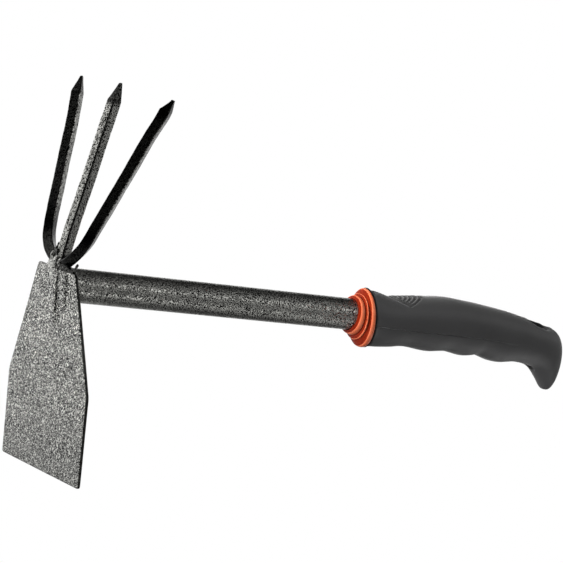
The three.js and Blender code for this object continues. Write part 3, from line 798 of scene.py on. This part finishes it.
def make_liner():
    n = 144
    prof = [(195.25, 11.8, 16.5), (195.28, 12.05, 16.85), (195.37, 12.2, 17.05), (195.48, 12.25, 17.1), (195.58, 12.2, 17.05),
            (195.66, 12.0, 16.8), (195.7, 11.7, 16.4)]
    rings = [leaning(x, w, h, n, drop=-1.0) for x, w, h in prof]
    rings.append(leaning(195.7, 10.8, 10.8, n, drop=0.0))
    rings += [oval(x, w, w, n) for x, w in ((230.0, 10.8), (281.0, 10.8), (281.0, 9.05), (240.0, 9.05))]
    rings.append(leaning(195.25, 9.05, 9.05, n, drop=0.0))
    P = np.array(rings).reshape(-1, 3)
    return build("liner_flange", P, ring_faces(len(rings), n, closed=True), M_LINER, ("grip_core",), sharp=40)


# ----------------------------------------------------------------------- grip
GX0 = 195.9
GRIP = [
    [GX0 - 0.1 * 15.2, 15.2, GX0 + 0.1 * 17.4, -17.4, 12.0], [198.5, 14.5, 200.3, -17.2, 12.6], [203.0, 13.6, 203.6, -17.1, 13.0], [208.0, 13.1, 208.0, -16.8, 13.2],
    [214.0, 13.2, 214.0, -16.3, 13.3], [219.0, 13.6, 219.0, -15.6, 13.3], [224.0, 14.1, 224.0, -15.4, 13.4],
    [230.0, 14.7, 230.0, -15.9, 13.5], [236.0, 15.2, 236.0, -16.6, 13.6], [242.0, 15.7, 242.0, -16.8, 13.7],
    [248.0, 16.0, 248.0, -16.2, 13.7], [254.0, 15.9, 254.0, -15.8, 13.7], [260.0, 15.4, 260.0, -16.6, 13.7],
    [265.5, 15.0, 266.0, -17.5, 13.7], [271.0, 14.6, 271.8, -17.1, 13.6], [276.0, 14.1, 277.2, -16.2, 13.4],
    [281.0, 13.6, 282.8, -17.4, 13.3], [286.0, 13.0, 288.6, -18.9, 13.3], [291.5, 12.4, 294.8, -19.4, 13.3],
    [297.5, 11.5, 300.4, -18.9, 13.2], [303.5, 10.5, 306.0, -18.3, 13.1], [310.0, 9.2, 311.2, -18.5, 13.0],
    [317.0, 7.7, 316.0, -19.0, 12.9], [323.5, 6.5, 320.4, -20.0, 12.7], [329.8, 5.2, 324.2, -21.8, 12.4],
    [334.6, 3.6, 327.2, -24.2, 11.9], [337.8, 1.0, 329.6, -26.8, 11.3], [340.0, -3.0, 331.6, -29.2, 10.4],
    [341.2, -9.0, 333.0, -31.1, 9.4], [341.3, -15.5, 334.0, -32.4, 8.3], [340.6, -21.5, 334.7, -33.1, 7.2],
    [339.4, -26.5, 335.2, -33.5, 5.9], [338.4, -30.2, 335.7, -33.7, 4.3], [337.6, -32.3, 336.3, -33.7, 2.4],
]
HOLE_X, HOLE_L, HOLE_W, HOLE_R, HOLE_Y = 320.5, 7.3, 4.9, 3.8, -1.9


def slot_distance(x, y):
    """distance outside the hang slot's outline, negative inside"""
    qx, qy = abs(x - HOLE_X) - (HOLE_L - HOLE_R), abs(y - HOLE_Y) - (HOLE_W - HOLE_R)
    return math.hypot(max(qx, 0), max(qy, 0)) + min(max(qx, qy), 0) - HOLE_R


def pad_relief(x, y, z):
    """raised V-shaped border and nested ribs of the thumb pad, in mm"""
    if z < 4.0 or x < 198 or x > 242:
        return 0.0, False
    ax, az, px, pz, bx, bz = 202.15, 13.65, 218.6, 8.15, 232.0, 15.15

    def dist(x0, z0, x1, z1):
        dx, dz = x1 - x0, z1 - z0
        ln = math.hypot(dx, dz)
        return ((x - x0) * -dz + (z - z0) * dx) / ln
    d1, d2 = dist(ax, az, px, pz), dist(px, pz, bx, bz)
    inside = min(d1, d2)
    if inside < -0.9:
        return 0.0, False
    f = max(0.0, min(1.0, (inside + 0.15) / 0.5))
    # welt along the front leg, and a fine groove along the back one
    h = 0.50 * math.exp(-((d1 + 0.05) / 0.42) ** 2) * min(1.0, max(0.0, (d2 + 0.6) / 3.0))
    h -= 0.38 * math.exp(-((d2 - 0.1) / 0.30) ** 2) * min(1.0, max(0.0, d1 / 0.8))
    h -= 0.30 * f
    # ribs parallel to the back leg, which stop short of the front one
    g = max(0.0, min(1.0, (d1 - 2.2) / 0.6)) * max(0.0, min(1.0, (d2 - 0.45) / 0.4))
    rib = 0.5 + 0.5 * math.cos(2 * math.pi * (d2 - 1.05) / 1.28)
    h += 0.62 * g * (rib ** 1.5 - 0.25)
    # flags the welt and the rib crests for the painted highlight
    painted_highlight = (abs(d1 + 0.12) < 0.42 and 0.6 < d2 < 15) or (g > 0.5 and rib > 0.72)
    return h, painted_highlight


def make_grip():
    Gr = np.array(GRIP)
    dense, _ = catmull(Gr, 2400)
    # stations of equal length along the middle line, closer at the hooked end
    mid = np.stack([(dense[:, 0] + dense[:, 2]) / 2, (dense[:, 1] + dense[:, 3]) / 2], 1)
    d = np.r_[0, np.cumsum(np.linalg.norm(np.diff(mid, axis=0), axis=1))]
    span = np.hypot(np.gradient(dense[:, 0], d + np.arange(len(d)) * 1e-9), np.gradient(dense[:, 1], d + np.arange(len(d)) * 1e-9))
    step = np.maximum(1.0, span) * (1 + 2.2 * ((mid[:, 0] > 200) & (mid[:, 0] < 234)) + 0.7 * ((mid[:, 0] > 310) & (mid[:, 0] < 334)))
    q = np.r_[0, np.cumsum(np.diff(d) * (step[1:] + step[:-1]) / 2)]
    M = 500
    qq = np.linspace(0, q[-1], M)
    st = np.stack([np.interp(qq, q, dense[:, k]) for k in range(5)], 1)
    ker = np.exp(-np.linspace(-2, 2, 9) ** 2)
    ker /= ker.sum()
    for c in (3,):
        pad = np.r_[st[:4, c][::-1] * 0 + st[0, c], st[:, c], st[-4:, c] * 0 + st[-1, c]]
        st[:, c] = np.convolve(pad, ker, "valid")
    seam_x = [195.9, 227.1, 246.6, 268.9, 279.6, 300.6, 318.0, 332.0, 345.0]
    seam_z = [-4.7, -5.3, -5.4, -5.5, -5.9, -7.3, -9.2, -12.0, -15.0]
    n, K = 300, 36
    base = np.linspace(0, 2 * math.pi, n + 1)[:-1]
    rings = []
    seam_cols = None
    for tx, tz, bx, bz, w in st:
        cx, cz = (tx + bx) / 2, (tz + bz) / 2
        ux, uz = (tx - bx) / 2, (tz - bz) / 2
        hh = math.hypot(ux, uz)
        us = (float(np.interp(cx, seam_x, seam_z)) - cz) / max(6.0, uz)
        # angle at which the section height equals the seam's
        sa = math.copysign(math.asin(min(0.9, abs(us) ** (2.35 / 2))), us)
        sa = max(-0.55, min(-0.04, sa))
        angs = base.copy()
        da = [q_ / max(6.0, hh) for q_ in (-0.6, -0.2, 0.0, 0.2, 0.6)]
        # columns 2..6 before 0 and around pi carry the seam on the +Y and -Y side
        lin_a = np.concatenate([
            np.linspace(angs[n - K], 2 * math.pi + sa + da[0], K - 9)[:-1],
            [2 * math.pi + sa + x for x in da],
            np.linspace(2 * math.pi + sa + da[4], 2 * math.pi, 7)[1:-1],
        ])
        angs[n - K:n] = lin_a
        lin_b = np.concatenate([
            np.linspace(math.pi, math.pi - sa + da[0], 7)[:-1],
            [math.pi - sa + x for x in da],
            np.linspace(math.pi - sa + da[4], angs[n // 2 + K + 1], K - 9)[1:],
        ])
        angs[n // 2:n // 2 + K + 1] = lin_b
        if seam_cols is None:
            seam_cols = {n - 10 + i: i for i in range(5)}
            seam_cols.update({n // 2 + 6 + i: i for i in range(5)})
        out = []
        for a in angs:
            ca, sn = math.cos(a), math.sin(a)
            y = w * math.copysign(abs(ca) ** (2 / 2.35), ca)
            u = math.copysign(abs(sn) ** (2 / 2.35), sn)
            out.append((cx + ux * u, y, cz + uz * u))
        rings.append(out)
    m = len(rings)
    P = np.array(rings).reshape(-1, 3)
    F = ring_faces(m, n)
    N = outward(P, F, vertex_normals(P, F))
    idx = np.arange(len(P)) % n
    row = np.arange(len(P)) // n
    disp = np.zeros(len(P))
    painted_highlight = np.zeros(len(P), bool)
    for i, p in enumerate(P):
        h, painted_highlight[i] = pad_relief(*p)
        k = seam_cols.get(int(idx[i]))
        if k is not None:
            fade = 1.0 if p[0] < 262 else max(0.0, 1 - (p[0] - 262) / 42)
            h += {2: -0.74, 1: -0.05, 3: -0.05}.get(k, 0.0) * fade
        # gentle hand-mould unevenness
        h += 0.06 * nz(p, 0.05, 6.0)
        disp[i] = h
        # rounded mouth of the hang slot, dished on the upper side
        if 306 < p[0] < 339:
            sd = slot_distance(p[0], p[1])
            nzv = N[i, 2]
            near = max(0.0, min(1.0, 0.5 - p[1] / 5.0))
            near = near * near * (3 - 2 * near)
            r, depth = 2.6, (-0.55 + 2.9 * near) if nzv > 0 else 0.0
            fade = max(0.0, min(1.0, (abs(nzv) - 0.25) / 0.45))
            fade = fade * fade * (3 - 2 * fade)
            if sd < r:
                q_ = max(0.0, sd)
                disp[i] -= fade * depth * (1 - math.sin(math.pi / 2 * q_ / r))
            elif sd < r + 1.2:
                disp[i] += (fade * near if nzv > 0 else 0.0) * 0.22 * math.sin(math.pi * (sd - r) / 1.2)
    # the slot's near lip gets the painted highlight too
    for i in range(len(P)):
        if N[i][2] > 0.1 and abs(P[i][0] - HOLE_X) < 12 and P[i][1] < HOLE_Y + 1.5:
            if 0.0 < slot_distance(P[i][0], P[i][1]) < 0.62:
                painted_highlight[i] = True
    # front corner rounding
    for i in range(len(P)):
        if row[i] < 3:
            disp[i] -= (0.26, 0.07, 0.0)[row[i]]
    P = P + N * disp[:, None]
    # bore for the liner, closed behind it
    def bore(x, r):
        a = np.linspace(0, 2 * math.pi, n + 1)[:-1]
        return np.stack([np.full(n, x), r * np.cos(a), r * np.sin(a)], 1)
    front = bore(GX0, 10.9)
    front[:, 0] -= 0.1 * front[:, 2]
    allP = np.vstack([bore(281.6, 10.9), bore(240, 10.9), front, P])
    F = ring_faces(m + 3, n)
    me_name = "grip_rubber_sleeve"
    ob = build(me_name, allP, F, M_RUBBER, ("grip_sleeve",), sharp=60)
    # painted highlight: the pad's welt and ribs get the paler rubber
    ob.data.materials.append(M_RUBBER_PAINTED_HIGHLIGHT)
    painted_highlight = np.concatenate([np.zeros(3 * n, bool), painted_highlight])
    for p_ in ob.data.polygons:
        if p_.loop_total == 4 and sum(painted_highlight[v_] for v_ in p_.vertices) >= 3:
            p_.material_index = 1
    # cut the hang slot through
    bm = bmesh.new()
    # full size at the upper side, drawn in towards the lower side as a moulded hole is
    rows = []
    for z, cx, cy, hl, hw, r in ((30.0, HOLE_X, HOLE_Y, HOLE_L, HOLE_W, HOLE_R), (3.0, HOLE_X, HOLE_Y, HOLE_L, HOLE_W, HOLE_R),
                                 (-17.0, 322.2, 0.0, 3.5, 2.7, 2.2), (-60.0, 322.2, 0.0, 3.5, 2.7, 2.2)):
        row_v = []
        for cxs, cys, a0 in ((1, 1, 0), (-1, 1, 90), (-1, -1, 180), (1, -1, 270)):
            for k in range(13):
                a = math.radians(a0 + 90 * k / 12)
                row_v.append(bm.verts.new(Vector(W((cx + cxs * (hl - r) + r * math.cos(a), cy + cys * (hw - r) + r * math.sin(a), z)))))
        rows.append(row_v)
    k = len(rows[0])
    bm.faces.new(rows[0])
    bm.faces.new(rows[-1][::-1])
    for up, dn in zip(rows[:-1], rows[1:]):
        for i in range(k):
            bm.faces.new((dn[i], dn[(i + 1) % k], up[(i + 1) % k], up[i]))
    bmesh.ops.recalc_face_normals(bm, faces=bm.faces)
    cm = bpy.data.meshes.new("cutter")
    bm.to_mesh(cm)
    bm.free()
    cut = bpy.data.objects.new("cutter", cm)
    bpy.context.scene.collection.objects.link(cut)
    mod = ob.modifiers.new("cut", "BOOLEAN")
    mod.operation = "DIFFERENCE"
    mod.solver = "EXACT"
    mod.object = cut
    dg = bpy.context.evaluated_depsgraph_get()
    me2 = bpy.data.meshes.new_from_object(ob.evaluated_get(dg))
    ob.modifiers.clear()
    ob.data = me2
    bpy.data.objects.remove(cut)
    bpy.data.meshes.remove(cm)
    me2.polygons.foreach_set("use_smooth", [True] * len(me2.polygons))
    me2.set_sharp_from_angle(angle=math.radians(38))
    me2.update()
    return ob


make_blade()
for t in TINES:
    make_tine(t)
make_tube()
make_welds()
make_ridge()
make_fillet()
make_ferrule()
make_liner()
make_grip()

# --------------------------------------------------------------- floor, world
MID = Vector(W((120, 0, 0)))
FWD = Vector((0.531, 0.846, 0.0)).normalized()


def studio(nt, vec):
    """brightness of the studio in a direction: a pale wall behind and beside the
    tool, dim above and below, dark on the camera's side, two soft panels to the
    right of the camera. vec is a socket carrying a unit direction."""
    def mt(op, a_, b_=None, clamp=False):
        n_ = nt.nodes.new("ShaderNodeMath")
        n_.operation = op
        n_.use_clamp = clamp
        for i_, v_ in enumerate((a_, b_)):
            if v_ is None:
                continue
            if isinstance(v_, (int, float)):
                n_.inputs[i_].default_value = v_
            else:
                nt.links.new(v_, n_.inputs[i_])
        return n_.outputs[0]

    def dotp(d_):
        n_ = nt.nodes.new("ShaderNodeVectorMath")
        n_.operation = "DOT_PRODUCT"
        nt.links.new(vec, n_.inputs[0])
        n_.inputs[1].default_value = tuple(d_)
        return n_.outputs["Value"]

    def ss(v_, lo, hi):
        n_ = nt.nodes.new("ShaderNodeMapRange")
        n_.interpolation_type = "SMOOTHSTEP"
        n_.inputs["From Min"].default_value = lo
        n_.inputs["From Max"].default_value = hi
        nt.links.new(v_, n_.inputs["Value"])
        return n_.outputs[0]

    def band(v_, c_, w_):
        q_ = mt("DIVIDE", mt("SUBTRACT", v_, c_), w_)
        return mt("EXPONENT", mt("MULTIPLY", mt("MULTIPLY", q_, q_), -1.0))
    f = dotp(FWD)
    z = dotp((0, 0, 1))
    side = dotp(Vector((0.5, -0.86, 0)).normalized())
    wall = mt("MULTIPLY", ss(f, -0.20, 0.20), mt("SUBTRACT", 1.0, ss(z, 0.20, 0.46)))
    wall = mt("MULTIPLY", wall, ss(z, -0.62, -0.18))
    top = mt("MULTIPLY", mt("MULTIPLY", ss(z, 0.50, 0.85), ss(f, -0.45, 0.25)), mt("SUBTRACT", 1.0, ss(f, 0.15, 0.55)))
    bottom = mt("MULTIPLY", ss(mt("MULTIPLY", z, -1.0), 0.40, 0.80), ss(f, -0.6, 0.3))
    window = ss(side, 0.25, 0.65)
    p1 = mt("MULTIPLY", band(z, 0.41, 0.12), window)
    p2 = mt("MULTIPLY", band(z, -0.58, 0.17), ss(side, 0.05, 0.45))
    # the lower panel stops short, and a smaller one stands higher in the gap
    across = dotp((1, 0, 0))
    gap = mt("MULTIPLY", ss(across, 0.44, 0.51), mt("SUBTRACT", 1.0, ss(across, 0.68, 0.75)))
    p2 = mt("MULTIPLY", p2, mt("SUBTRACT", 1.0, gap))
    gap = mt("MULTIPLY", ss(across, 0.485, 0.52), mt("SUBTRACT", 1.0, ss(across, 0.56, 0.60)))
    p4 = mt("MULTIPLY", mt("MULTIPLY", band(z, 0.14, 0.13), window), gap)
    left = dotp(Vector((-0.846, 0.531, 0)).normalized())
    low = mt("MULTIPLY", ss(left, -0.05, 0.4), ss(mt("MULTIPLY", z, -1.0), 0.35, 0.6))
    left = dotp(Vector((-0.846, 0.531, 0)).normalized())
    right_dim = mt("SUBTRACT", 1.0, mt("MULTIPLY", ss(mt("MULTIPLY", left, -1.0), 0.15, 0.65), 0.58))
    hi = dotp(Vector((-0.41, 0.55, 0.70)).normalized())
    p3 = mt("EXPONENT", mt("MULTIPLY", mt("SUBTRACT", hi, 1.0), 16.0))
    v = mt("MULTIPLY", mt("MULTIPLY", wall, right_dim), 1.05)
    for x_, k_ in ((top, 0.15), (bottom, 0.06), (p1, 1.02), (p2, 1.02), (p4, 0.5), (low, 0.5), (p3, 0.9)):
        v = mt("ADD", v, mt("MULTIPLY", x_, k_))
    return mt("ADD", v, 0.015)


floor_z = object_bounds()[0][2] - 0.16
bm = bmesh.new()
bmesh.ops.create_grid(bm, x_segments=24, y_segments=24, size=9.0)
for v in bm.verts:
    v.co.z = floor_z - MID.z
fm = bpy.data.meshes.new("floor")
bm.to_mesh(fm)
bm.free()
floor = bpy.data.objects.new("floor", fm)
floor.location = MID
bpy.context.scene.collection.objects.link(floor)
m = bpy.data.materials.new("floor_pale")
m.use_nodes = True
nt = m.node_tree
nt.nodes.clear()
out = nt.nodes.new("ShaderNodeOutputMaterial")
lp = nt.nodes.new("ShaderNodeLightPath")
em = nt.nodes.new("ShaderNodeEmission")
em.inputs["Color"].default_value = (1, 1, 1, 1)
em.inputs["Strength"].default_value = 1.0
df = nt.nodes.new("ShaderNodeEmission")
df.inputs["Color"].default_value = (1, 1, 1, 1)
tcf = nt.nodes.new("ShaderNodeTexCoord")
nrm = nt.nodes.new("ShaderNodeVectorMath")
nrm.operation = "NORMALIZE"
nt.links.new(tcf.outputs["Object"], nrm.inputs[0])
nt.links.new(studio(nt, nrm.outputs["Vector"]), df.inputs["Strength"])
mx = nt.nodes.new("ShaderNodeMixShader")
nt.links.new(lp.outputs["Is Camera Ray"], mx.inputs[0])
nt.links.new(df.outputs[0], mx.inputs[1])
nt.links.new(em.outputs[0], mx.inputs[2])
nt.links.new(mx.outputs[0], out.inputs[0])
floor.data.materials.append(m)

world = bpy.data.worlds.new("studio")
bpy.context.scene.world = world
world.use_nodes = True
nt = world.node_tree
nt.nodes.clear()
out = nt.nodes.new("ShaderNodeOutputWorld")
bg_cam = nt.nodes.new("ShaderNodeBackground")
bg_cam.inputs[0].default_value = (1, 1, 1, 1)
bg_cam.inputs[1].default_value = 1.0
bg = nt.nodes.new("ShaderNodeBackground")
bg.inputs[0].default_value = (1, 1, 1, 1)
lp = nt.nodes.new("ShaderNodeLightPath")
mx = nt.nodes.new("ShaderNodeMixShader")
nt.links.new(lp.outputs["Is Camera Ray"], mx.inputs[0])
nt.links.new(bg.outputs[0], mx.inputs[1])
nt.links.new(bg_cam.outputs[0], mx.inputs[2])
nt.links.new(mx.outputs[0], out.inputs[0])
tcw = nt.nodes.new("ShaderNodeTexCoord")
nt.links.new(studio(nt, tcw.outputs["Generated"]), bg.inputs[1])


def area(name, direction, dist, size, size_y, power):
    l = bpy.data.lights.new(name, "AREA")
    l.shape = "RECTANGLE"
    l.size, l.size_y, l.energy = size, size_y, power
    o = bpy.data.objects.new(name, l)
    d_ = Vector(direction).normalized()
    o.location = MID + d_ * dist
    o.rotation_euler = (-d_).to_track_quat("-Z", "Y").to_euler()
    bpy.context.scene.collection.objects.link(o)
    return o


# broad fill from above the camera, kept out of the paint's mirror reflections
key = area("key_soft", (-1.0, -0.14, 0.16), 1.5, 0.5, 0.5, 46.0)
key.visible_glossy = False
top = area("top_soft", (0.10, 0.20, 1.0), 1.5, 0.8, 0.8, 9.0)
top.visible_glossy = False

# --------------------------------------------------------------------- camera
cam = bpy.data.cameras.new("camera")
cam.sensor_fit = "HORIZONTAL"
cam.sensor_width = 36.0
cam.lens = 1800.0 / 563.0 * 36.0
cam.clip_start, cam.clip_end = 0.05, 60.0
co = bpy.data.objects.new("camera", cam)
right = Vector((0.8420283325648632, -0.5199285454874376, 0.1437448946757889))
down = Vector((0.09543405794763787, -0.11868913352857619, -0.9883345740010732))
fwd = Vector((0.5309243145135502, 0.8459238719704945, -0.05032072225995615))
R = Matrix((right, -down, -fwd)).transposed().to_4x4()
pos = W((-394.0181869109895 - 0.418, -845.5428232203906, 64.41509681130734))
co.matrix_world = Matrix.Translation(Vector(pos)) @ R
bpy.context.scene.collection.objects.link(co)
bpy.context.scene.camera = co
bpy.context.scene.view_settings.view_transform = "Standard"
bpy.context.scene.view_settings.look = "None"
